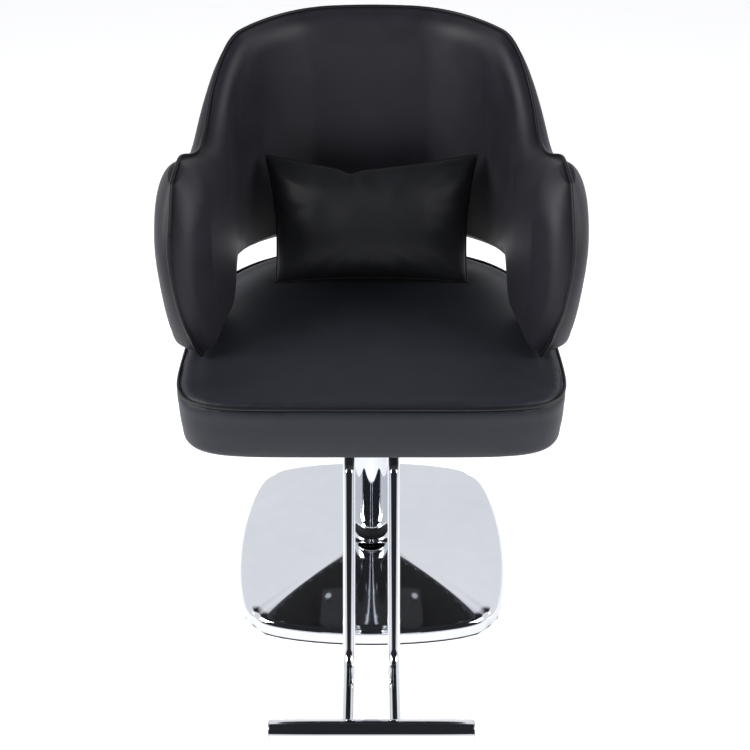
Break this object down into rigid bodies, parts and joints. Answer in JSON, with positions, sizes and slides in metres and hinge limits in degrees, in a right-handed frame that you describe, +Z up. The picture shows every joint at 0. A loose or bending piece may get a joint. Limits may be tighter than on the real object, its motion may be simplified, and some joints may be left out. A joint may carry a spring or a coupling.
{
  "type": "styling chair",
  "caption": "Black leatherette tub styling chair on a foot-pumped hydraulic column with a square domed chrome base, a T-shaped footrest and a loose piped pillow.",
  "frame": {"origin": "where the axis of the lift pump meets the floor, at the middle of the base", "axes": "+Z up along the lift, the sitter faces -Y, +X to the left hand side of the sitter"},
  "size_m": [0.5986, 0.8304, 0.8711],
  "materials": {
    "chrome": "mirror plated",
    "floor_plate": "matt black powder coat",
    "cast_body": "painted casting",
    "bright_steel": "ground steel",
    "zinc_steel": "zinc plated",
    "bronze": "machined",
    "spring_steel": "oiled wire",
    "rubber": "matt",
    "seat_skin": "fine grained leatherette, semi-matt",
    "shell_skin": "fine grained leatherette, semi-matt",
    "piping_skin": "leatherette over cord",
    "pillow_skin": "soft leatherette, slight gloss",
    "pillow_stuffing": "polyester fibre",
    "foam": "open cell polyurethane foam",
    "plywood": "raw birch plywood",
    "bottom_cloth": "nonwoven"
  },
  "bodies": {
    "base": {"base_plate": "floor_plate", "base_edging": "rubber", "base_cover": "chrome", "cover_brackets": "floor_plate", "pump_body": "cast_body", "pump_bolts": "zinc_steel", "lift_cylinder": "bright_steel", "cylinder_gland": "bronze", "dust_cone": "rubber", "pedal_pin": "bright_steel", "pedal_spring": "spring_steel"},
    "ram": {"ram": "bright_steel", "ram_piston": "bright_steel", "piston_seal": "rubber", "thrust_washer": "bronze"},
    "pedal": {"pedal_lever": "chrome", "pedal_plate": "chrome", "pedal_pad": "rubber"},
    "plunger": {"plunger": "bright_steel"},
    "seat": {"sleeve": "chrome", "swivel_hub": "cast_body", "seat_plate": "floor_plate", "seat_rail_left": "floor_plate", "seat_rail_right": "floor_plate", "rail_bolts": "zinc_steel", "footrest_plate": "floor_plate", "footrest_bolts": "zinc_steel", "footrest_tube_left": "chrome", "footrest_tube_right": "chrome", "foot_bar": "chrome", "bar_caps": "chrome", "seat_board": "plywood", "seat_foam": "foam", "seat_top_panel": "seat_skin", "seat_boxing": "seat_skin", "seat_piping": "piping_skin", "dust_cover": "bottom_cloth", "arm_bracket_left": "floor_plate", "arm_bracket_right": "floor_plate", "bracket_bolts": "zinc_steel", "arm_screws": "zinc_steel", "shell_core": "plywood", "shell_foam_inner": "foam", "shell_foam_outer": "foam", "shell_inner_panel": "shell_skin", "shell_outer_panel": "shell_skin", "shell_piping": "piping_skin"},
    "pillow": {"pillow_fill": "pillow_stuffing", "pillow_front": "pillow_skin", "pillow_rear": "pillow_skin", "pillow_piping": "piping_skin"}
  },
  "joints": [
    {"name": "seat_lift", "type": "slide", "parent": "base", "child": "ram", "axis": [0, 0, 1], "range_m": [0, 0.15]},
    {"name": "seat_swivel", "type": "hinge", "parent": "ram", "child": "seat", "pos_m": [0, 0, 0.36], "axis": [0, 0, 1], "continuous": true},
    {"name": "pedal_press", "type": "hinge", "parent": "base", "child": "pedal", "pos_m": [0, 0.06, 0.031], "axis": [-1, 0, 0], "range_deg": [0, 18], "stiffness_Nm_per_rad": 10, "springref_deg": -22.92},
    {"name": "plunger_stroke", "type": "slide", "parent": "base", "child": "plunger", "axis": [0, -1, 0], "range_m": [0, 0.0055]},
    {"name": "pillow_lift", "type": "slide", "parent": "seat", "child": "pillow", "axis": [0, -0.5, 0.866], "range_m": [0, 0.18]}
  ],
  "couplings": [
    {"joint": "plunger_stroke", "follows": "pedal_press", "m_per_rad": 0.016}
  ]
}
